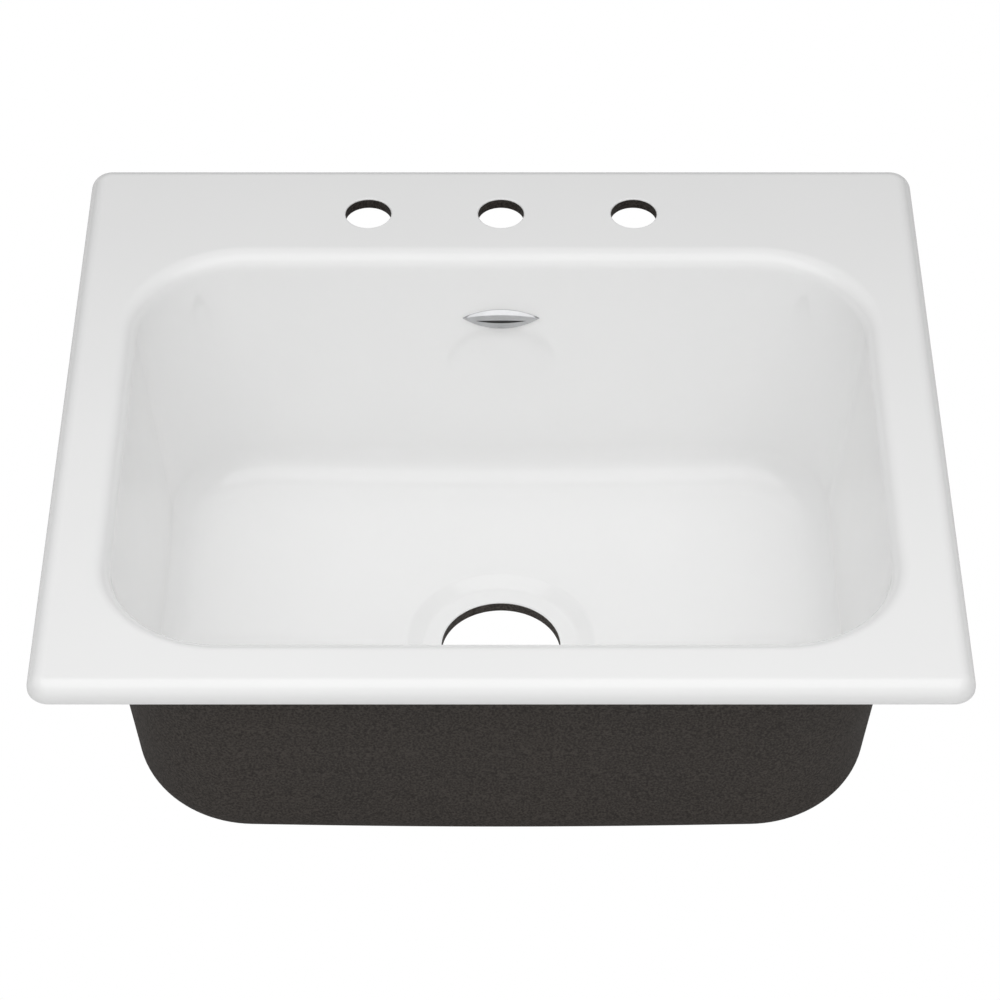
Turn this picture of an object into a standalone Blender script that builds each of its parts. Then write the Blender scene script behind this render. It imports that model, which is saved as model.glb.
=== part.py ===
"""Drop-in single-bowl kitchen sink: an enamelled cast-iron body with three tap
holes, a dished outlet and a small lens-shaped badge on the back wall.

Frame: metres, +Z up, +X to the right, +Y towards the tap holes at the back.
The origin is under the middle of the rim rectangle, on the plane that the
outlet's boss stands on.
"""

import math

import bmesh
import bpy
from mathutils import Matrix, Vector

# ---------------------------------------------------------------- dimensions
MM = 0.001

RIM_WIDTH = 635.0 * MM       # 25 in, left to right
RIM_DEPTH = 558.8 * MM       # 22 in, front to back
HEIGHT = 228.6 * MM          # 9 in, from the outlet's boss to the rim's top
RIM_CORNER = 16.0 * MM       # plan radius of the rim's corners
ROLL = 12.0 * MM             # radius of the rolled top edge
RIM_EDGE = 15.6 * MM         # height of the rim's edge
UNDER_ROLL = 1.8 * MM        # small radius under the rim's edge
LIP_WIDTH = 14.0 * MM        # seat under the rim that rests on the worktop

BOWL_Y = -31.2 * MM          # bowl's centre, forward of the rim's centre
BOWL_HALF_X = 271.4 * MM     # inside half width, walls carried up to the rim plane
BOWL_HALF_Y = 199.8 * MM
BOWL_CORNER = 80.0 * MM      # plan radius of the bowl's corners, inside
CORNER_TAPER = 0.025         # how fast that radius shrinks with depth
DRAFT_X = 0.098              # how far the end walls lean in, per unit of depth
DRAFT_Y = 0.066              # the same for the front and back walls
MOUTH = 14.0 * MM            # radius where the deck turns down into the bowl
FILLET = 28.0 * MM           # wall to floor, inside
FILLET_GROWTH = 0.65         # how fast that radius grows through the wall
FALL = 0.042                 # slope of the floor towards the outlet
SLOPE_DEPTH = 80.0 * MM      # below this the walls start to follow the floor

OUTLET_Y = -25.8 * MM        # outlet's centre, a little behind the bowl's centre
OUTLET_R = 45.0 * MM         # for a standard 90 mm (3 1/2 in) basket strainer
SEAT_R = 58.0 * MM           # flat seat for the strainer's flange
DISH_R = 72.0 * MM           # where the dish round the outlet meets the floor
DISH_DEPTH = 6.0 * MM
DISH_EASE = 0.15             # share of the dish's slope that is rounded off at each end

TAP_Y = 221.5 * MM           # row of tap holes, 57.9 mm from the back edge
TAP_PITCH = 101.6 * MM       # 4 in between holes
TAP_R = 17.5 * MM            # 35 mm holes

WALL = 9.5 * MM              # iron and enamel together
ENAMEL = 1.2 * MM
GAP = 0.3 * MM               # between the enamel's back and the iron
DECK_FILLET = 8.0 * MM       # under the deck, where the bowl's wall meets it

CORNER_STEPS = 6             # segments in each plan corner
LONG_STEPS = 9               # segments along the front and back
SHORT_STEPS = 6              # segments along the ends
TAP_SEGMENTS = 32

BADGE_WIDTH = 59.0 * MM
BADGE_HEIGHT = 16.0 * MM
BADGE_THICK = 2.6 * MM
BADGE_SIDE = 0.2 * MM        # upright part of the plate's edge, below its slopes
BADGE_SLOPE = 2.9 * MM       # widest part of the sloping upper facet
BADGE_UNDERCUT = 0.5 * MM    # the same for the steep lower edge
BADGE_TIP = 0.15             # share of the plate's rise that is left at its tips
BADGE_DROP = 56.9 * MM       # badge's centre, below the rim's top
PAD_THICK = 0.5 * MM
INLAY_WIDTH = 39.0 * MM
INLAY_HEIGHT = 2.6 * MM
INLAY_THICK = 0.6 * MM
INLAY_SHIFT = -1.2 * MM      # the inlay sits in the middle of the flat face

OBJECT_NAME = "single_bowl_sink"
FLOOR_REACH = 200.0 * MM     # distance from the outlet at which FLOOR_LEVEL is taken
FLOOR_LEVEL = WALL + DISH_DEPTH + FALL * (FLOOR_REACH - DISH_R)


# ---------------------------------------------------------------- scene setup
for old in list(bpy.data.objects):
    bpy.data.objects.remove(old, do_unlink=True)

parts = bpy.data.collections.new(OBJECT_NAME)
cutters = bpy.data.collections.new(OBJECT_NAME + "_cutters")
for collection in (parts, cutters):
    bpy.context.scene.collection.children.link(collection)


def material(name, colour, roughness, metallic=0.0):
    made = bpy.data.materials.new(name)
    made.use_nodes = True
    shader = made.node_tree.nodes["Principled BSDF"]
    shader.inputs["Base Color"].default_value = (*colour, 1.0)
    shader.inputs["Roughness"].default_value = roughness
    shader.inputs["Metallic"].default_value = metallic
    return made


WHITE_ENAMEL = material("white_enamel", (0.86, 0.86, 0.86), 0.1)
DARK_IRON = material("dark_iron", (0.04, 0.036, 0.033), 0.75)
CHROME = material("chrome", (0.8, 0.8, 0.82), 0.06, 1.0)
BLACK_INLAY = material("black_inlay", (0.01, 0.01, 0.01), 0.3)
FOAM_PAD = material("foam_pad", (0.12, 0.12, 0.12), 0.9)


# ---------------------------------------------------------------- sections
def rounded_rectangle(half_x, half_y, radius, centre_y, z):
    """Points round a rounded rectangle, anticlockwise from the end of the right side."""
    across, along = half_x - radius, half_y - radius
    corners = ((across, along), (-across, along), (-across, -along), (across, -along))
    points = []
    for index, (cx, cy) in enumerate(corners):
        for step in range(CORNER_STEPS + 1):
            angle = math.pi / 2 * (index + step / CORNER_STEPS)
            points.append((cx + radius * math.cos(angle), cy + radius * math.sin(angle)))
        # along the next side, in even steps of direction from the middle
        if index % 2 == 0:
            steps, level = LONG_STEPS, math.copysign(half_y, cy)
            first = math.atan2(level, cx)
            turn = 2 * (math.pi / 2 - math.atan2(half_y, across))
        else:
            steps, level = SHORT_STEPS, math.copysign(half_x, cx)
            first = math.atan2(cy, level)
            turn = 2 * math.atan2(along, half_x)
        for step in range(1, steps):
            angle = first + turn * step / steps
            if index % 2 == 0:
                points.append((level / math.tan(angle), level))
            else:
                points.append((level, level * math.tan(angle)))
    return [Vector((x, y + centre_y, z)) for x, y in points]


def rim_section(back, z):
    return rounded_rectangle(
        RIM_WIDTH / 2 - back,
        RIM_DEPTH / 2 - back,
        max(RIM_CORNER - back, 4.0 * MM),
        0.0,
        z,
    )


def foot(depth):
    """Radius of the fillet at the wall's foot, and how far down its centre is."""
    radius = FILLET + FILLET_GROWTH * depth
    return radius, HEIGHT - FLOOR_LEVEL + depth - radius


def wall_inset(draft, drop, depth):
    """How far in a surface of the bowl stands from the wall's line at the rim plane.

    depth is how far the surface lies behind the enamel's face.
    """
    stretch = math.hypot(1.0, draft)
    if drop < MOUTH - (MOUTH - depth) * draft / stretch:
        centre = -MOUTH * (stretch - draft)
        radius = MOUTH - depth
        return centre + math.sqrt(max(0.0, radius**2 - (MOUTH - drop) ** 2))
    radius, centre_drop = foot(depth)
    if drop > centre_drop + radius * draft / stretch:
        centre = draft * centre_drop + (radius - depth) * stretch
        return centre - math.sqrt(max(0.0, radius**2 - (drop - centre_drop) ** 2))
    return draft * drop - depth * stretch


def bowl_section(drop, depth):
    inset_x = wall_inset(DRAFT_X, drop, depth)
    inset_y = wall_inset(DRAFT_Y, drop, depth)
    taper_drop = min(drop, foot(depth)[1])
    lean = (DRAFT_X + DRAFT_Y) / 2
    corner = (
        BOWL_CORNER
        - CORNER_TAPER * taper_drop
        - (inset_x + inset_y) / 2
        + lean * taper_drop
    )
    ring = rounded_rectangle(
        BOWL_HALF_X - inset_x, BOWL_HALF_Y - inset_y, corner, BOWL_Y, HEIGHT - drop
    )
    # the lower walls ride up and down with the floor
    share = (drop - SLOPE_DEPTH) / (HEIGHT - FLOOR_LEVEL + depth - SLOPE_DEPTH)
    share = min(1.0, max(0.0, share))
    share = share * share * (3 - 2 * share)
    for p in ring:
        reach = math.hypot(p.x, p.y - OUTLET_Y)
        p.z += share * FALL * (reach - FLOOR_REACH)
    return ring


def eased(part):
    """Rises from 0 to 1: a straight ramp with a short round at each end."""
    steep = 1 / (1 - DISH_EASE)
    if part < DISH_EASE:
        return steep * part**2 / (2 * DISH_EASE)
    if part > 1 - DISH_EASE:
        return 1 - steep * (1 - part) ** 2 / (2 * DISH_EASE)
    return steep * (part - DISH_EASE / 2)


def dish_section(radius, pattern, depth):
    """A circle about the outlet; each point is in line with its partner in pattern."""
    ring = []
    part = (radius - SEAT_R) / (DISH_R - SEAT_R)
    part = min(1.0, max(0.0, part))
    height = DISH_DEPTH * eased(part)
    height += FALL * (DISH_R - SEAT_R) * part * part * (part - 1)
    for p in pattern:
        angle = math.atan2(p.y - OUTLET_Y, p.x)
        ring.append(
            Vector(
                (
                    radius * math.cos(angle),
                    OUTLET_Y + radius * math.sin(angle),
                    WALL - depth + height,
                )
            )
        )
    return ring


def angles(start, end, steps):
    return [math.radians(start + (end - start) * i / steps) for i in range(steps + 1)]


def roll_rings(depth, start, steps):
    """The rolled edge of the rim, from its side up to the deck."""
    rings = []
    for angle in angles(start, 90, steps):
        radius = ROLL - depth
        rings.append(
            rim_section(
                ROLL - radius * math.cos(angle), HEIGHT - ROLL + radius * math.sin(angle)
            )
        )
    return rings


def under_edge_rings(radius, steps):
    """The small turn under the rim's edge, from underneath out to the side."""
    rings = []
    for angle in angles(-90, 0, steps):
        rings.append(
            rim_section(
                UNDER_ROLL - radius * math.cos(angle),
                HEIGHT - RIM_EDGE + UNDER_ROLL + radius * math.sin(angle),
            )
        )
    return rings


def mouth_rings(depth, steps):
    radius = MOUTH - depth
    return [
        bowl_section(MOUTH - radius * math.sin(angle), depth)
        for angle in angles(90, 6, steps)
    ]


def wall_rings(depth, start, steps):
    """The wall between the mouth and the foot's fillet."""
    end = foot(depth)[1]
    return [
        bowl_section(start + (end - start) * i / steps, depth) for i in range(1, steps)
    ]


def fillet_rings(depth, steps):
    radius, centre_drop = foot(depth)
    return [
        bowl_section(centre_drop + radius * math.sin(angle), depth)
        for angle in angles(4, 90, steps)
    ]


def dish_rings(pattern, depth):
    width = DISH_R - SEAT_R
    radii = (DISH_R, SEAT_R + width * 0.9, SEAT_R + width * 0.1, SEAT_R, OUTLET_R)
    return [dish_section(radius, pattern, depth) for radius in radii]


def show_face(depth):
    """Every ring from the rim's rolled edge to the outlet."""
    rings = roll_rings(depth, 0, 4)
    rings += mouth_rings(depth, 4)
    rings += wall_rings(depth, MOUTH, 3)
    rings += fillet_rings(depth, 4)
    return rings + dish_rings(rings[-1], depth)


def loft(name, rings, finish):
    """A closed tube of sections: each ring joins the next and the last joins the first."""
    mesh = bpy.data.meshes.new(name)
    work = bmesh.new()
    loops = [[work.verts.new(p) for p in ring] for ring in rings]
    count = len(loops[0])
    for a, b in zip(loops, loops[1:] + loops[:1]):
        for i in range(count):
            j = (i + 1) % count
            work.faces.new((a[i], a[j], b[j], b[i]))
    bmesh.ops.recalc_face_normals(work, faces=work.faces)
    work.to_mesh(mesh)
    work.free()
    mesh.materials.append(finish)
    mesh.shade_smooth()
    mesh.set_sharp_from_angle(angle=math.radians(35))
    made = bpy.data.objects.new(name, mesh)
    parts.objects.link(made)
    return made


def cut_with(target, tool):
    tool.hide_render = True
    tool.display_type = "WIRE"
    cut = target.modifiers.new(tool.name, "BOOLEAN")
    cut.operation = "DIFFERENCE"
    cut.solver = "EXACT"
    cut.object = tool


def drill(target, name, radius, x, y):
    """Cuts a vertical hole right through the deck."""
    mesh = bpy.data.meshes.new(name)
    work = bmesh.new()
    bmesh.ops.create_cone(
        work,
        cap_ends=True,
        segments=TAP_SEGMENTS,
        radius1=radius,
        radius2=radius,
        depth=60 * MM,
        matrix=Matrix.Translation((x, y, HEIGHT - 5 * MM)),
    )
    work.to_mesh(mesh)
    work.free()
    tool = bpy.data.objects.new(name, mesh)
    cutters.objects.link(tool)
    cut_with(target, tool)


# ---------------------------------------------------------------- enamel coat
front = under_edge_rings(UNDER_ROLL, 2)[:-1] + show_face(0.0)
back = under_edge_rings(UNDER_ROLL - ENAMEL, 2)[:-1] + show_face(ENAMEL)
enamel = loft("enamel_coat", front + back[::-1], WHITE_ENAMEL)

# ---------------------------------------------------------------- iron casting
top = show_face(ENAMEL + GAP)

lower = []
for angle in angles(90, 0, 3):
    # from the deck's underside round into the outside of the bowl's wall
    swing = DECK_FILLET * (1 - math.cos(angle))
    drop = WALL + DECK_FILLET * (1 - math.sin(angle))
    lower.append(
        rounded_rectangle(
            BOWL_HALF_X - DRAFT_X * drop + WALL + swing,
            BOWL_HALF_Y - DRAFT_Y * drop + WALL + swing,
            BOWL_CORNER + WALL + swing,
            BOWL_Y,
            HEIGHT - drop,
        )
    )
lower += wall_rings(WALL, WALL + DECK_FILLET, 3)
lower += fillet_rings(WALL, 5)
lower += dish_rings(lower[-1], WALL)

seat = HEIGHT - RIM_EDGE
edge_radius = UNDER_ROLL - ENAMEL - GAP
lip = [
    rim_section(LIP_WIDTH + 3.0 * MM, HEIGHT - WALL),
    rim_section(LIP_WIDTH, seat + 1.0 * MM),
    rim_section(LIP_WIDTH - 1.0 * MM, seat),
    rim_section(UNDER_ROLL + GAP, seat),
    rim_section(UNDER_ROLL + GAP, seat + UNDER_ROLL - edge_radius),
]
lip += under_edge_rings(edge_radius, 2)[1:-1]
casting = loft("cast_iron_body", top + lower[::-1] + lip, DARK_IRON)

for side, x in (("left", -TAP_PITCH), ("middle", 0.0), ("right", TAP_PITCH)):
    drill(enamel, f"tap_hole_enamel_{side}", TAP_R, x, TAP_Y)
    drill(casting, f"tap_hole_iron_{side}", TAP_R, x, TAP_Y)


# ---------------------------------------------------------------- badge
# On the leaning back wall: x along the wall, y up the wall, z out of it.
tilt = math.atan(DRAFT_Y)
on_wall = Matrix.Translation(
    (0.0, BOWL_Y + BOWL_HALF_Y - DRAFT_Y * BADGE_DROP, HEIGHT - BADGE_DROP)
) @ Matrix.Rotation(math.pi / 2 - tilt, 4, "X")


def lens_outline(inset, steps, width=BADGE_WIDTH, height=BADGE_HEIGHT):
    """A pointed oval made of two arcs, drawn in by inset all round."""
    half_w, half_h = width / 2, height / 2
    radius = (half_w**2 + half_h**2) / (2 * half_h)
    centre = radius - half_h
    radius -= inset
    reach = math.acos(centre / radius)
    points = []
    for sign in (1, -1):
        for step in range(steps):
            angle = sign * reach * (1 - 2 * step / steps)
            points.append(
                (radius * math.sin(angle), sign * (radius * math.cos(angle) - centre))
            )
    return points


def face_outline(steps):
    """The plate's flat face: the same lens, lower at its top and a little smaller."""
    half = BADGE_HEIGHT / 2
    above, below = 1 - BADGE_SLOPE / half, 1 - BADGE_UNDERCUT / half
    return [
        (x * (1 - BADGE_UNDERCUT / BADGE_WIDTH), y * (above if y > 0 else below))
        for x, y in lens_outline(0.0, steps)
    ]


def fullness(x):
    """Share of the plate's rise at x: all of it in the middle, little at the tips."""
    return 1 - (1 - BADGE_TIP) * (2 * x / BADGE_WIDTH) ** 2


def lens(name, levels, shift, collection, finish=None, steps=14, **size):
    """A lens-shaped body through (inset, z, rise) levels, closed at both ends. The
    rise comes on top of z and falls off towards the badge's tips. An inset of None
    stands for the outline of the badge's face."""
    mesh = bpy.data.meshes.new(name)
    work = bmesh.new()
    loops = []
    for inset, z, rise in levels:
        if inset is None:
            outline = face_outline(steps)
        else:
            outline = lens_outline(inset, steps, **size)
        loops.append(
            [work.verts.new((x, y + shift, z + rise * fullness(x))) for x, y in outline]
        )
    count = len(loops[0])
    for a, b in zip(loops, loops[1:]):
        for i in range(count):
            j = (i + 1) % count
            work.faces.new((a[i], a[j], b[j], b[i]))
    for loop in (loops[0], loops[-1]):
        for i in range(steps):
            strip = (loop[i], loop[i + 1], loop[count - i - 1], loop[(count - i) % count])
            work.faces.new(list(dict.fromkeys(strip)))
    bmesh.ops.recalc_face_normals(work, faces=work.faces)
    work.transform(on_wall)
    work.to_mesh(mesh)
    work.free()
    made = bpy.data.objects.new(name, mesh)
    if finish:
        mesh.materials.append(finish)
    collection.objects.link(made)
    return made


pad_back = GAP
plate_back = pad_back + PAD_THICK + GAP
plate_brow = plate_back + BADGE_SIDE
rise = BADGE_THICK - BADGE_SIDE
lens(
    "badge_adhesive_pad",
    ((2.0 * MM, pad_back, 0.0), (2.0 * MM, pad_back + PAD_THICK, 0.0)),
    0.0,
    parts,
    FOAM_PAD,
)
plate = lens(
    "badge_plate",
    ((0.0, plate_back, 0.0), (0.0, plate_brow, 0.0), (None, plate_brow, rise)),
    0.0,
    parts,
    CHROME,
)
pocket = lens(
    "badge_pocket",
    (
        (0.0, plate_brow - INLAY_THICK - GAP, rise),
        (0.0, plate_brow + 1.0 * MM, rise),
    ),
    INLAY_SHIFT,
    cutters,
    width=INLAY_WIDTH + 3.4 * MM,
    height=INLAY_HEIGHT + 0.7 * MM,
)
cut_with(plate, pocket)
lens(
    "badge_inlay",
    ((0.0, plate_brow - INLAY_THICK, rise), (0.0, plate_brow, rise)),
    INLAY_SHIFT,
    parts,
    BLACK_INLAY,
    width=INLAY_WIDTH,
    height=INLAY_HEIGHT,
)
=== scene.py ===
"""Looks for the single-bowl drop-in sink: fine meshes for the enamel, the iron and
the badge, their materials, the floor, the lights and the camera. The fine meshes
follow the same sections as the CAD part, at a much closer spacing."""

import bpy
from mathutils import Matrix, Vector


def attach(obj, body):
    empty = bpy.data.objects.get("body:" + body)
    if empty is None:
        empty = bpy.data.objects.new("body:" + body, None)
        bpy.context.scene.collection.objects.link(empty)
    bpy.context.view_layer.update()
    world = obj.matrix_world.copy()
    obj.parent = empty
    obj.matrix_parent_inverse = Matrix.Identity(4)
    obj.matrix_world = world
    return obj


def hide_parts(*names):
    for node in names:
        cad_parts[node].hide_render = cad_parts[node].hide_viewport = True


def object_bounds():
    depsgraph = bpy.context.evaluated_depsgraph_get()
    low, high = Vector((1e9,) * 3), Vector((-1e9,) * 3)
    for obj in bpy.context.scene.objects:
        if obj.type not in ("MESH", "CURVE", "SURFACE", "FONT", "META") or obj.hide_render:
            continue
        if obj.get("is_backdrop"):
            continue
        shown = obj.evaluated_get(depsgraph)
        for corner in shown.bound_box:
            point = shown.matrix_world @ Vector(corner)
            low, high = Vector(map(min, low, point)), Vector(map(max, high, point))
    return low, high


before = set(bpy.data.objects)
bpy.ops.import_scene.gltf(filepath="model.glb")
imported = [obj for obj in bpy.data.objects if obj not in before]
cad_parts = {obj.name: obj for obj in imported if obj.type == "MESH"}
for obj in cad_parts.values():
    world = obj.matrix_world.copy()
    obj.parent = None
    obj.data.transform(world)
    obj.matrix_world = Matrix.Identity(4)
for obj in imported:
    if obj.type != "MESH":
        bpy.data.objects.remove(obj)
cad_low, cad_high = (list(v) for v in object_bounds())

import math

import bmesh
import bpy
from mathutils import Matrix, Vector

# ------------------------------------------------------------ dimensions, as in the part
MM = 0.001
RIM_WIDTH = cad_high[0] - cad_low[0]
RIM_DEPTH = cad_high[1] - cad_low[1]
HEIGHT = cad_high[2]
RIM_CORNER = 16.0 * MM
ROLL = 12.0 * MM
RIM_EDGE = 15.6 * MM
UNDER_ROLL = 1.8 * MM
LIP_WIDTH = 14.0 * MM

BOWL_Y = -31.2 * MM
BOWL_HALF_X = 271.4 * MM
BOWL_HALF_Y = 199.8 * MM
BOWL_CORNER = 80.0 * MM
CORNER_TAPER = 0.025
DRAFT_X = 0.098
DRAFT_Y = 0.066
MOUTH = 14.0 * MM
FILLET = 28.0 * MM
FILLET_GROWTH = 0.65
FALL = 0.042
SLOPE_DEPTH = 80.0 * MM

OUTLET_Y = -25.8 * MM
OUTLET_R = 45.0 * MM
SEAT_R = 58.0 * MM
DISH_R = 72.0 * MM
DISH_DEPTH = 6.0 * MM
DISH_EASE = 0.15

TAP_Y = 221.5 * MM
TAP_PITCH = 101.6 * MM
TAP_R = 17.5 * MM

WALL = 9.5 * MM
ENAMEL = 1.2 * MM
EDGE_ROUND = 1.15 * MM       # where the enamel turns over into a hole
DECK_FILLET = 8.0 * MM

BADGE_WIDTH = 59.0 * MM
BADGE_HEIGHT = 16.0 * MM
BADGE_THICK = 2.6 * MM
BADGE_SLOPE = 2.9 * MM
BADGE_UNDERCUT = 0.5 * MM
BADGE_TIP = 0.15
BADGE_BROW = 0.45 * MM       # where the visible plate's slopes start, off the wall
BADGE_DROP = 56.9 * MM
PAD_THICK = 0.5 * MM
GAP = 0.3 * MM
INLAY_WIDTH = 39.0 * MM
INLAY_HEIGHT = 2.6 * MM
INLAY_THICK = 0.6 * MM
INLAY_SHIFT = -1.2 * MM

FLOOR_REACH = 200.0 * MM
FLOOR_LEVEL = WALL + DISH_DEPTH + FALL * (FLOOR_REACH - DISH_R)

CORNER_STEPS = 24
LONG_STEPS = 40
SHORT_STEPS = 26
SPACE = 0.5 * MM             # a narrow flat strip that keeps a flat face's shading flat


# ------------------------------------------------------------ camera
def make_camera():
    data = bpy.data.cameras.new("camera")
    data.sensor_width = 36.0
    data.lens = 127.94
    data.clip_start, data.clip_end = 0.05, 60.0
    camera = bpy.data.objects.new("camera", data)
    camera.location = (-0.0008, -1.9003, 1.7173 + HEIGHT)
    camera.rotation_euler = (math.radians(90.0 - 43.602), 0.0, 0.0)
    bpy.context.scene.collection.objects.link(camera)
    bpy.context.scene.camera = camera


make_camera()


# ------------------------------------------------------------ node helpers
def new_material(name):
    made = bpy.data.materials.new(name)
    made.use_nodes = True
    tree = made.node_tree
    return made, tree, tree.nodes["Principled BSDF"]


def noise_node(tree, scale, detail=3.0, rough=0.5, vector=None):
    node = tree.nodes.new("ShaderNodeTexNoise")
    node.inputs["Scale"].default_value = scale
    node.inputs["Detail"].default_value = detail
    node.inputs["Roughness"].default_value = rough
    if vector is not None:
        tree.links.new(vector, node.inputs["Vector"])
    return node


def remap(tree, value, low, high, from_low=0.3, from_high=0.7):
    node = tree.nodes.new("ShaderNodeMapRange")
    node.inputs["From Min"].default_value = from_low
    node.inputs["From Max"].default_value = from_high
    node.inputs["To Min"].default_value = low
    node.inputs["To Max"].default_value = high
    tree.links.new(value, node.inputs["Value"])
    return node.outputs["Result"]


def bump(tree, height, distance, strength=1.0, normal=None):
    node = tree.nodes.new("ShaderNodeBump")
    node.inputs["Strength"].default_value = strength
    node.inputs["Distance"].default_value = distance
    tree.links.new(height, node.inputs["Height"])
    if normal is not None:
        tree.links.new(normal, node.inputs["Normal"])
    return node.outputs["Normal"]


def mix_colour(tree, factor, first, second):
    node = tree.nodes.new("ShaderNodeMix")
    node.data_type = "RGBA"
    node.inputs["A"].default_value = (*first, 1.0)
    node.inputs["B"].default_value = (*second, 1.0)
    tree.links.new(factor, node.inputs["Factor"])
    return node.outputs["Result"]


def object_space(tree):
    return tree.nodes.new("ShaderNodeTexCoord").outputs["Object"]


# ------------------------------------------------------------ materials
def enamel_material():
    made, tree, shader = new_material("enamel_gloss_white")
    where = object_space(tree)
    cloud = noise_node(tree, 9.0, 2.0, 0.5, where)
    tree.links.new(
        mix_colour(
            tree,
            remap(tree, cloud.outputs["Fac"], 0.0, 1.0),
            (0.966, 0.967, 0.965),
            (0.976, 0.977, 0.974),
        ),
        shader.inputs["Base Color"],
    )
    haze = noise_node(tree, 26.0, 3.0, 0.55, where)
    tree.links.new(
        remap(tree, haze.outputs["Fac"], 0.012, 0.026), shader.inputs["Roughness"]
    )
    shader.inputs["IOR"].default_value = 1.56
    # slow waves left by the melt, then the faint pitting of a glass coat
    waves = noise_node(tree, 16.0, 1.0, 0.4, where)
    pitting = noise_node(tree, 420.0, 2.0, 0.5, where)
    slow = bump(tree, waves.outputs["Fac"], 0.0004, 0.3)
    fine = bump(tree, pitting.outputs["Fac"], 0.000004, 0.5, slow)
    tree.links.new(fine, shader.inputs["Normal"])
    return made


def iron_material():
    made, tree, shader = new_material("iron_dark_coated")
    where = object_space(tree)
    cloud = noise_node(tree, 14.0, 4.0, 0.6, where)
    speck = noise_node(tree, 620.0, 2.0, 0.6, where)
    blend = tree.nodes.new("ShaderNodeMath")
    blend.operation = "MULTIPLY_ADD"
    blend.inputs[1].default_value = 0.88
    tree.links.new(speck.outputs["Fac"], blend.inputs[0])
    share = tree.nodes.new("ShaderNodeMath")
    share.operation = "MULTIPLY"
    share.inputs[1].default_value = 0.12
    tree.links.new(cloud.outputs["Fac"], share.inputs[0])
    tree.links.new(share.outputs[0], blend.inputs[2])
    tree.links.new(
        mix_colour(
            tree,
            remap(tree, blend.outputs[0], 0.0, 1.0, 0.38, 0.62),
            (0.0315, 0.0270, 0.0239),
            (0.0780, 0.0680, 0.0603),
        ),
        shader.inputs["Base Color"],
    )
    tree.links.new(
        remap(tree, cloud.outputs["Fac"], 0.62, 0.8), shader.inputs["Roughness"]
    )
    shader.inputs["Specular IOR Level"].default_value = 0.22
    lumps = noise_node(tree, 60.0, 3.0, 0.55, where)
    sand = noise_node(tree, 520.0, 3.0, 0.6, where)
    slow = bump(tree, lumps.outputs["Fac"], 0.0008, 0.5)
    fine = bump(tree, sand.outputs["Fac"], 0.0004, 1.0, slow)
    tree.links.new(fine, shader.inputs["Normal"])
    return made


def chrome_material():
    made, tree, shader = new_material("badge_chrome_polished")
    where = object_space(tree)
    shader.inputs["Metallic"].default_value = 1.0
    cloud = noise_node(tree, 120.0, 2.0, 0.5, where)
    tree.links.new(
        mix_colour(
            tree,
            remap(tree, cloud.outputs["Fac"], 0.0, 1.0),
            (0.49, 0.495, 0.505),
            (0.54, 0.545, 0.555),
        ),
        shader.inputs["Base Color"],
    )
    tree.links.new(
        remap(tree, cloud.outputs["Fac"], 0.07, 0.13), shader.inputs["Roughness"]
    )
    scuffs = noise_node(tree, 700.0, 2.0, 0.6, where)
    tree.links.new(bump(tree, scuffs.outputs["Fac"], 0.00001, 0.4), shader.inputs["Normal"])
    return made


def inlay_material():
    made, tree, shader = new_material("badge_inlay_black")
    where = object_space(tree)
    cloud = noise_node(tree, 300.0, 3.0, 0.6, where)
    tree.links.new(
        mix_colour(
            tree,
            remap(tree, cloud.outputs["Fac"], 0.0, 1.0),
            (0.010, 0.010, 0.011),
            (0.020, 0.020, 0.021),
        ),
        shader.inputs["Base Color"],
    )
    tree.links.new(
        remap(tree, cloud.outputs["Fac"], 0.25, 0.4), shader.inputs["Roughness"]
    )
    tree.links.new(bump(tree, cloud.outputs["Fac"], 0.00003, 0.5), shader.inputs["Normal"])
    return made


def foam_material():
    made, tree, shader = new_material("badge_pad_foam")
    where = object_space(tree)
    cells = noise_node(tree, 1500.0, 2.0, 0.6, where)
    tree.links.new(
        mix_colour(
            tree,
            remap(tree, cells.outputs["Fac"], 0.0, 1.0),
            (0.08, 0.08, 0.08),
            (0.16, 0.16, 0.16),
        ),
        shader.inputs["Base Color"],
    )
    tree.links.new(
        remap(tree, cells.outputs["Fac"], 0.8, 0.95), shader.inputs["Roughness"]
    )
    tree.links.new(bump(tree, cells.outputs["Fac"], 0.0002, 0.8), shader.inputs["Normal"])
    return made


ENAMEL_WHITE = enamel_material()
IRON = iron_material()
CHROME = chrome_material()
INLAY = inlay_material()
FOAM = foam_material()


# ------------------------------------------------------------ sections
def rounded_rectangle(half_x, half_y, radius, centre_y, z):
    """Points round a rounded rectangle, anticlockwise from the end of the right side."""
    across, along = half_x - radius, half_y - radius
    corners = ((across, along), (-across, along), (-across, -along), (across, -along))
    points = []
    for index, (cx, cy) in enumerate(corners):
        for step in range(CORNER_STEPS + 1):
            angle = math.pi / 2 * (index + step / CORNER_STEPS)
            points.append((cx + radius * math.cos(angle), cy + radius * math.sin(angle)))
        if index % 2 == 0:
            steps, level = LONG_STEPS, math.copysign(half_y, cy)
            first = math.atan2(level, cx)
            turn = 2 * (math.pi / 2 - math.atan2(half_y, across))
        else:
            steps, level = SHORT_STEPS, math.copysign(half_x, cx)
            first = math.atan2(cy, level)
            turn = 2 * math.atan2(along, half_x)
        for step in range(1, steps):
            angle = first + turn * step / steps
            if index % 2 == 0:
                points.append((level / math.tan(angle), level))
            else:
                points.append((level, level * math.tan(angle)))
    return [Vector((x, y + centre_y, z)) for x, y in points]


def rim_section(back, z):
    return rounded_rectangle(
        RIM_WIDTH / 2 - back,
        RIM_DEPTH / 2 - back,
        max(RIM_CORNER - back, 3.0 * MM),
        0.0,
        z,
    )


def foot(depth):
    radius = FILLET + FILLET_GROWTH * depth
    return radius, HEIGHT - FLOOR_LEVEL + depth - radius


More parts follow.
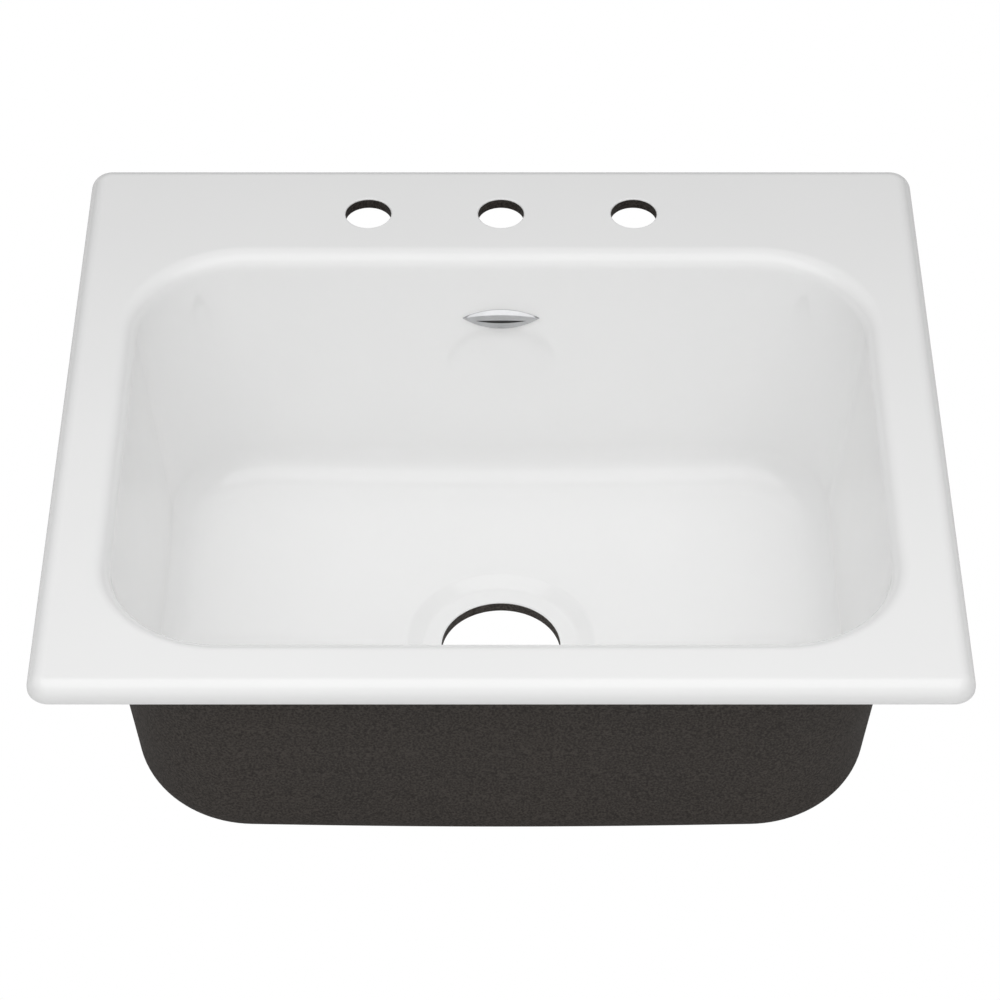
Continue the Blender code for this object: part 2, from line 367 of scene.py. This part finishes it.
def wall_inset(draft, drop, depth):
    stretch = math.hypot(1.0, draft)
    if drop < MOUTH - (MOUTH - depth) * draft / stretch:
        centre = -MOUTH * (stretch - draft)
        radius = MOUTH - depth
        return centre + math.sqrt(max(0.0, radius**2 - (MOUTH - drop) ** 2))
    radius, centre_drop = foot(depth)
    if drop > centre_drop + radius * draft / stretch:
        centre = draft * centre_drop + (radius - depth) * stretch
        return centre - math.sqrt(max(0.0, radius**2 - (drop - centre_drop) ** 2))
    return draft * drop - depth * stretch


def bowl_section(drop, depth, push=0.0):
    inset_x = wall_inset(DRAFT_X, drop, depth) - push
    inset_y = wall_inset(DRAFT_Y, drop, depth) - push
    taper_drop = min(drop, foot(depth)[1])
    lean = (DRAFT_X + DRAFT_Y) / 2
    corner = (
        BOWL_CORNER
        - CORNER_TAPER * taper_drop
        - (inset_x + inset_y) / 2
        + lean * taper_drop
    )
    ring = rounded_rectangle(
        BOWL_HALF_X - inset_x, BOWL_HALF_Y - inset_y, corner, BOWL_Y, HEIGHT - drop
    )
    share = (drop - SLOPE_DEPTH) / (HEIGHT - FLOOR_LEVEL + depth - SLOPE_DEPTH)
    share = min(1.0, max(0.0, share))
    share = share * share * (3 - 2 * share)
    for p in ring:
        reach = math.hypot(p.x, p.y - OUTLET_Y)
        p.z += share * FALL * (reach - FLOOR_REACH)
    return ring


def dish_height(radius):
    part = (radius - SEAT_R) / (DISH_R - SEAT_R)
    part = min(1.0, max(0.0, part))
    steep = 1 / (1 - DISH_EASE)
    if part < DISH_EASE:
        height = DISH_DEPTH * steep * part**2 / (2 * DISH_EASE)
    elif part > 1 - DISH_EASE:
        height = DISH_DEPTH * (1 - steep * (1 - part) ** 2 / (2 * DISH_EASE))
    else:
        height = DISH_DEPTH * steep * (part - DISH_EASE / 2)
    return height + FALL * (DISH_R - SEAT_R) * part * part * (part - 1)


def outlet_ring(radius, pattern, z):
    ring = []
    for p in pattern:
        angle = math.atan2(p.y - OUTLET_Y, p.x)
        ring.append(
            Vector((radius * math.cos(angle), OUTLET_Y + radius * math.sin(angle), z))
        )
    return ring


def dish_section(radius, pattern, depth):
    return outlet_ring(radius, pattern, WALL - depth + dish_height(radius))


def floor_sections(outer, depth, steps):
    """Rings that close in from the wall's foot to the dish, on the sloping floor."""
    inner = dish_section(DISH_R, outer, depth)
    return [
        [a.lerp(b, i / steps) for a, b in zip(outer, inner)] for i in range(1, steps)
    ]


def angles(start, end, steps):
    return [math.radians(start + (end - start) * i / steps) for i in range(steps + 1)]


def roll_rings(depth, steps):
    radius = ROLL - depth
    return [
        rim_section(
            ROLL - radius * math.cos(a), HEIGHT - ROLL + radius * math.sin(a)
        )
        for a in angles(0, 90, steps)
    ]


def under_edge_rings(radius, steps):
    return [
        rim_section(
            UNDER_ROLL - radius * math.cos(a),
            HEIGHT - RIM_EDGE + UNDER_ROLL + radius * math.sin(a),
        )
        for a in angles(-90, 0, steps)
    ]


def bowl_rings(depth, mouth_steps, wall_steps, fillet_steps, floor_steps, dish_steps):
    """From the deck, down into the bowl and in to the flat seat round the outlet."""
    radius = MOUTH - depth
    rings = [
        bowl_section(MOUTH - radius * math.sin(a), depth)
        for a in angles(90, 5, mouth_steps)
    ]
    foot_radius, end = foot(depth)
    start = MOUTH
    rings += [
        bowl_section(start + (end - start) * i / wall_steps, depth)
        for i in range(1, wall_steps)
    ]
    rings += [
        bowl_section(end + foot_radius * math.sin(a), depth)
        for a in angles(3, 90, fillet_steps)
    ]
    rings += floor_sections(rings[-1], depth, floor_steps)
    width = DISH_R - SEAT_R
    for i in range(dish_steps + 1):
        rings.append(dish_section(DISH_R - width * i / dish_steps, rings[-1], depth))
    return rings


# ------------------------------------------------------------ mesh helpers
def circle(radius, x, y, z, count=72):
    return [
        Vector(
            (
                x + radius * math.cos(2 * math.pi * i / count),
                y + radius * math.sin(2 * math.pi * i / count),
                z,
            )
        )
        for i in range(count)
    ]


def add_loops(work, rings):
    return [[work.verts.new(p) for p in ring] for ring in rings]


def skin(work, loops):
    count = len(loops[0])
    for a, b in zip(loops, loops[1:]):
        for i in range(count):
            j = (i + 1) % count
            work.faces.new((a[i], a[j], b[j], b[i]))


def loop_edges(work, loop):
    found = []
    for i, v in enumerate(loop):
        other = loop[(i + 1) % len(loop)]
        edge = work.edges.get((v, other))
        found.append(edge if edge else work.edges.new((v, other)))
    return found


def flat_fill(work, loops, up):
    """Fills the flat face that lies between the first loop and the loops inside it."""
    edges = []
    for loop in loops:
        edges += loop_edges(work, loop)
    bmesh.ops.triangle_fill(
        work, use_beauty=True, use_dissolve=False, edges=edges, normal=(0, 0, up)
    )


def finish_mesh(name, work, material, sharp):
    bmesh.ops.recalc_face_normals(work, faces=work.faces)
    mesh = bpy.data.meshes.new(name)
    work.to_mesh(mesh)
    work.free()
    mesh.materials.append(material)
    mesh.shade_smooth()
    mesh.set_sharp_from_angle(angle=math.radians(sharp))
    made = bpy.data.objects.new(name, mesh)
    bpy.context.scene.collection.objects.link(made)
    return made


TAPS = (-TAP_PITCH, 0.0, TAP_PITCH)


# ------------------------------------------------------------ enamel
def make_enamel():
    work = bmesh.new()
    top, back = HEIGHT, HEIGHT - ENAMEL
    # the show face: rim edge and roll
    edge = under_edge_rings(UNDER_ROLL, 8)[:-1] + roll_rings(0.0, 22)
    edge.append(rim_section(ROLL + SPACE, top))
    edge_loops = add_loops(work, edge)
    skin(work, edge_loops)
    # the bowl, down to the outlet
    bowl = [bowl_section(0.0, 0.0, SPACE)]
    bowl += bowl_rings(0.0, 22, 24, 26, 12, 14)
    bowl.append(dish_section(SEAT_R - SPACE, bowl[-1], 0.0))
    bowl.append(dish_section(OUTLET_R + EDGE_ROUND + SPACE, bowl[-1], 0.0))
    for a in angles(90, 0, 6):
        bowl.append(
            outlet_ring(
                OUTLET_R + EDGE_ROUND - EDGE_ROUND * math.cos(a),
                bowl[-1],
                WALL - EDGE_ROUND + EDGE_ROUND * math.sin(a),
            )
        )
    bowl_loops = add_loops(work, bowl)
    skin(work, bowl_loops)
    # the hidden back face
    back_edge = under_edge_rings(UNDER_ROLL - ENAMEL, 3)[:-1] + roll_rings(ENAMEL, 8)
    back_edge_loops = add_loops(work, back_edge)
    skin(work, back_edge_loops)
    back_bowl = bowl_rings(ENAMEL, 8, 8, 10, 4, 5)
    back_bowl.append(outlet_ring(OUTLET_R, back_bowl[-1], WALL - ENAMEL))
    back_bowl_loops = add_loops(work, back_bowl)
    skin(work, back_bowl_loops)
    # close the coat's edge under the rim and in the outlet
    skin(work, [edge_loops[0], back_edge_loops[0]])
    skin(work, [bowl_loops[-1], back_bowl_loops[-1]])
    # the tap holes
    tops, backs = [edge_loops[-1], bowl_loops[0]], [back_edge_loops[-1], back_bowl_loops[0]]
    for x in TAPS:
        rings = [circle(TAP_R + EDGE_ROUND + SPACE, x, TAP_Y, top)]
        for a in angles(90, 0, 6):
            rings.append(
                circle(
                    TAP_R + EDGE_ROUND - EDGE_ROUND * math.cos(a),
                    x,
                    TAP_Y,
                    top - EDGE_ROUND + EDGE_ROUND * math.sin(a),
                )
            )
        rings.append(circle(TAP_R, x, TAP_Y, back))
        loops = add_loops(work, rings)
        skin(work, loops)
        tops.append(loops[0])
        backs.append(loops[-1])
    flat_fill(work, tops, 1)
    flat_fill(work, backs, -1)
    made = finish_mesh("enamel_shell", work, ENAMEL_WHITE, 40)
    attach(made, "root")
    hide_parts("enamel_coat")
    return made


# ------------------------------------------------------------ iron
def make_iron():
    work = bmesh.new()
    depth = ENAMEL + 0.02 * MM
    top, under = HEIGHT - depth, HEIGHT - WALL
    seat = HEIGHT - RIM_EDGE
    inner_radius = UNDER_ROLL - depth
    # the face under the enamel
    upper_edge = under_edge_rings(inner_radius, 3)[:-1] + roll_rings(depth, 8)
    upper_bowl = bowl_rings(depth, 8, 8, 10, 4, 5)
    upper_bowl.append(outlet_ring(OUTLET_R, upper_bowl[-1], WALL - depth))
    # the outlet's wall and flat boss, the underside of the bowl
    low_edge = 0.8 * MM
    lower = [outlet_ring(OUTLET_R, upper_bowl[-1], low_edge)]
    for a in angles(0, 90, 4):
        lower.append(
            outlet_ring(
                OUTLET_R + low_edge - low_edge * math.cos(a),
                lower[-1],
                low_edge - low_edge * math.sin(a),
            )
        )
    lower.append(outlet_ring(SEAT_R - SPACE, lower[-1], 0.0))
    radius, end = foot(WALL)
    outer_foot = [
        bowl_section(end + radius * math.sin(a), WALL) for a in angles(90, 3, 26)
    ]
    pattern = outer_foot[0]
    dish = [
        dish_section(SEAT_R + (DISH_R - SEAT_R) * i / 14, pattern, WALL)
        for i in range(15)
    ]
    floor = floor_sections(outer_foot[0], WALL, 10)
    lower += dish + floor[::-1] + outer_foot
    start = WALL + DECK_FILLET
    lower += [
        bowl_section(end + (start - end) * i / 24, WALL) for i in range(1, 24)
    ]
    for a in angles(0, 90, 10):
        swing = DECK_FILLET * (1 - math.cos(a))
        drop = WALL + DECK_FILLET * (1 - math.sin(a))
        lower.append(
            rounded_rectangle(
                BOWL_HALF_X - DRAFT_X * drop + WALL + swing,
                BOWL_HALF_Y - DRAFT_Y * drop + WALL + swing,
                BOWL_CORNER + WALL + swing,
                BOWL_Y,
                HEIGHT - drop,
            )
        )
    drop = WALL
    lower.append(
        rounded_rectangle(
            BOWL_HALF_X - DRAFT_X * drop + WALL + DECK_FILLET + SPACE,
            BOWL_HALF_Y - DRAFT_Y * drop + WALL + DECK_FILLET + SPACE,
            BOWL_CORNER + WALL + DECK_FILLET + SPACE,
            BOWL_Y,
            under,
        )
    )
    # the lip under the rim: a fillet down from the deck, a small round, the flat seat
    inner_fillet, lip_round = 3.0 * MM, 1.2 * MM
    lip = [rim_section(LIP_WIDTH + inner_fillet + SPACE, under)]
    for a in angles(90, 0, 6):
        lip.append(
            rim_section(
                LIP_WIDTH + inner_fillet - inner_fillet * math.cos(a),
                under - inner_fillet + inner_fillet * math.sin(a),
            )
        )
    for a in angles(0, 90, 4):
        lip.append(
            rim_section(
                LIP_WIDTH - lip_round + lip_round * math.cos(a),
                seat + lip_round - lip_round * math.sin(a),
            )
        )
    lip.append(rim_section(LIP_WIDTH - lip_round - SPACE, seat))
    lip.append(rim_section(UNDER_ROLL + 0.05 * MM, seat))
    lip.append(rim_section(UNDER_ROLL + 0.05 * MM, seat + UNDER_ROLL - inner_radius))
    edge_loops = add_loops(work, lip + upper_edge[1:])
    skin(work, edge_loops)
    bowl_loops = add_loops(work, upper_bowl + lower)
    skin(work, bowl_loops)
    tops, unders = [edge_loops[-1], bowl_loops[0]], [edge_loops[0], bowl_loops[-1]]
    chamfer = 0.8 * MM
    for x in TAPS:
        rings = [circle(TAP_R, x, TAP_Y, top)]
        for i in range(1, 4):
            rings.append(circle(TAP_R, x, TAP_Y, top + (under + chamfer - top) * i / 3))
        for a in angles(0, 90, 4)[1:]:
            rings.append(
                circle(
                    TAP_R + chamfer - chamfer * math.cos(a),
                    x,
                    TAP_Y,
                    under + chamfer - chamfer * math.sin(a),
                )
            )
        rings.append(circle(TAP_R + chamfer + SPACE, x, TAP_Y, under))
        loops = add_loops(work, rings)
        skin(work, loops)
        tops.append(loops[0])
        unders.append(loops[-1])
    flat_fill(work, tops, 1)
    flat_fill(work, unders, -1)
    made = finish_mesh("iron_body", work, IRON, 50)
    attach(made, "root")
    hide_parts("cast_iron_body")
    return made


# ------------------------------------------------------------ badge
tilt = math.atan(DRAFT_Y)
ON_WALL = Matrix.Translation(
    (0.0, BOWL_Y + BOWL_HALF_Y - DRAFT_Y * BADGE_DROP, HEIGHT - BADGE_DROP)
) @ Matrix.Rotation(math.pi / 2 - tilt, 4, "X")


def lens_outline(inset, steps, width, height):
    """A pointed oval made of two arcs, drawn in by inset all round."""
    half_w, half_h = width / 2, height / 2
    radius = (half_w**2 + half_h**2) / (2 * half_h)
    centre = radius - half_h
    radius -= inset
    reach = math.acos(centre / radius)
    points = []
    for sign in (1, -1):
        for step in range(steps):
            angle = sign * reach * (1 - 2 * step / steps)
            points.append(
                (radius * math.sin(angle), sign * (radius * math.cos(angle) - centre))
            )
    return points


def plate_outline(inset, steps, width, height):
    """The plate's outline, drawn in most at the middle of its top, where by inset."""
    half = height / 2
    share = inset / BADGE_SLOPE
    above = 1 - share * BADGE_SLOPE / half
    below = 1 - share * BADGE_UNDERCUT / half
    across = 1 - share * BADGE_UNDERCUT / width
    return [
        (x * across, y * (above if y > 0 else below))
        for x, y in lens_outline(0.0, steps, width, height)
    ]


def fullness(x):
    """Share of the plate's rise at x: all of it in the middle, little at the tips."""
    return 1 - (1 - BADGE_TIP) * (2 * x / BADGE_WIDTH) ** 2


def lens(
    name, levels, material, sharp, width, height, shift=0.0, steps=56, outline=lens_outline
):
    """A lens-shaped body through (inset, z) levels. Above the brow, z falls off
    towards the badge's tips."""
    work = bmesh.new()
    rise = GAP + PAD_THICK + GAP + BADGE_THICK - BADGE_BROW
    loops = []
    for inset, z in levels:
        loop = []
        for x, y in outline(inset, steps, width, height):
            drop = (1 - fullness(x)) * min(max(z - BADGE_BROW, 0.0), rise)
            loop.append(work.verts.new((x, y + shift, z - drop)))
        loops.append(loop)
    skin(work, loops)
    count = 2 * steps
    for loop in (loops[0], loops[-1]):
        for i in range(steps):
            strip = (loop[i], loop[i + 1], loop[count - i - 1], loop[(count - i) % count])
            work.faces.new(list(dict.fromkeys(strip)))
    work.transform(ON_WALL)
    made = finish_mesh(name, work, material, sharp)
    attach(made, "root")
    return made


def rounded_corner(before, corner, after, radius, steps):
    """Points of an arc that rounds a corner of a 2-D profile."""
    corner, before, after = Vector(corner), Vector(before), Vector(after)
    back, ahead = (before - corner).normalized(), (after - corner).normalized()
    half = back.angle(ahead) / 2
    run = radius / math.tan(half)
    middle = corner + (back + ahead).normalized() * radius / math.sin(half)
    start, end = corner + back * run, corner + ahead * run
    first, last = start - middle, end - middle
    turn = math.atan2(first.x * last.y - first.y * last.x, first.dot(last))
    points = []
    for i in range(steps + 1):
        a = turn * i / steps
        points.append(
            (
                middle.x + first.x * math.cos(a) - first.y * math.sin(a),
                middle.y + first.x * math.sin(a) + first.y * math.cos(a),
            )
        )
    return points


def make_badge():
    plate_back = GAP + PAD_THICK + GAP
    face = plate_back + BADGE_THICK
    # the plate's edge comes down almost to the wall and hides the pad
    foot, brow = (0.0, 0.1 * MM), (0.0, BADGE_BROW)
    crest = (BADGE_SLOPE, face)
    levels = [foot]
    levels += rounded_corner(foot, brow, crest, 0.2 * MM, 4)
    levels += rounded_corner(brow, crest, (BADGE_SLOPE + 2.0 * MM, face), 0.3 * MM, 8)
    levels.append((BADGE_SLOPE + 0.35 * MM, face))
    plate = lens(
        "badge_plate_fine",
        levels,
        CHROME,
        50,
        BADGE_WIDTH,
        BADGE_HEIGHT,
        outline=plate_outline,
    )
    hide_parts("badge_plate")
    inlay = lens(
        "badge_inlay_fine",
        [
            (0.0, face - 0.2 * MM),
            (0.0, face + 0.0 * MM),
            (0.12 * MM, face + 0.06 * MM),
            (0.4 * MM, face + 0.1 * MM),
        ],
        INLAY,
        50,
        INLAY_WIDTH,
        INLAY_HEIGHT,
        INLAY_SHIFT,
        40,
    )
    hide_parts("badge_inlay")
    pad = lens(
        "badge_pad_fine",
        [(2.0 * MM, 0.02 * MM), (2.0 * MM, 0.08 * MM)],
        FOAM,
        50,
        BADGE_WIDTH,
        BADGE_HEIGHT,
    )
    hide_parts("badge_adhesive_pad")


make_enamel()
make_iron()
make_badge()


# ------------------------------------------------------------ floor
def make_floor():
    mesh = bpy.data.meshes.new("studio_floor")
    work = bmesh.new()
    bmesh.ops.create_grid(work, x_segments=2, y_segments=2, size=6.0)
    work.to_mesh(mesh)
    work.free()
    floor = bpy.data.objects.new("studio_floor", mesh)
    floor.location = (0.0, 0.0, -0.0002)
    bpy.context.scene.collection.objects.link(floor)
    made, tree, shader = new_material("studio_floor_white")
    shader.inputs["Base Color"].default_value = (0.88, 0.88, 0.88, 1.0)
    shader.inputs["Roughness"].default_value = 0.9
    shader.inputs["Specular IOR Level"].default_value = 0.0
    # seen directly it is plain white with no shadow; it still lights the sink as a
    # pale floor would
    white = tree.nodes.new("ShaderNodeEmission")
    white.inputs["Strength"].default_value = 1.0
    rays = tree.nodes.new("ShaderNodeLightPath")
    either = tree.nodes.new("ShaderNodeMixShader")
    tree.links.new(rays.outputs["Is Camera Ray"], either.inputs["Fac"])
    tree.links.new(shader.outputs["BSDF"], either.inputs[1])
    tree.links.new(white.outputs["Emission"], either.inputs[2])
    tree.links.new(
        either.outputs["Shader"], tree.nodes["Material Output"].inputs["Surface"]
    )
    mesh.materials.append(made)
    floor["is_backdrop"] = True


make_floor()


# ------------------------------------------------------------ light
def area(name, place, target, width, height, power):
    data = bpy.data.lights.new(name, "AREA")
    data.shape = "RECTANGLE"
    data.size, data.size_y = width, height
    data.energy = power
    lamp = bpy.data.objects.new(name, data)
    lamp.location = place
    aim = Vector(target) - Vector(place)
    lamp.rotation_euler = aim.to_track_quat("-Z", "Y").to_euler()
    bpy.context.scene.collection.objects.link(lamp)
    return lamp


RIM_UP = HEIGHT
area(
    "softbox_top",
    (0.0, -0.42, RIM_UP + 0.85),
    (0.0, -0.42, 0.0),
    1.8,
    0.95,
    0.82 * math.pi * 1.8 * 0.95,
)
area(
    "panel_left",
    (-1.9, -0.2, RIM_UP + 1.0),
    (0.0, 0.0, 0.15),
    1.2,
    1.6,
    0.14 * math.pi * 1.2 * 1.6,
)

world = bpy.data.worlds.new("studio")
bpy.context.scene.world = world
world.use_nodes = True
background = world.node_tree.nodes["Background"]
background.inputs["Color"].default_value = (1.0, 1.0, 1.0, 1.0)


def world_math(operation, first, second):
    node = world.node_tree.nodes.new("ShaderNodeMath")
    node.operation = operation
    for socket, value in zip(node.inputs, (first, second)):
        if isinstance(value, float):
            socket.default_value = value
        else:
            world.node_tree.links.new(value, socket)
    return node.outputs[0]


# brighter overhead and towards the front, fading to the horizon behind
direction = world.node_tree.nodes.new("ShaderNodeTexCoord").outputs["Generated"]
parts = world.node_tree.nodes.new("ShaderNodeSeparateXYZ")
world.node_tree.links.new(direction, parts.inputs["Vector"])
overhead = world_math("MAXIMUM", parts.outputs["Z"], 0.0)
ahead = world_math("MAXIMUM", world_math("MULTIPLY", parts.outputs["Y"], -1.0), 0.0)
glow = world_math(
    "ADD",
    world_math("MULTIPLY", overhead, 0.72),
    world_math("MULTIPLY", world_math("POWER", ahead, 2.0), 0.67),
)
world.node_tree.links.new(glow, background.inputs["Strength"])

bpy.context.scene.view_settings.view_transform = "Standard"
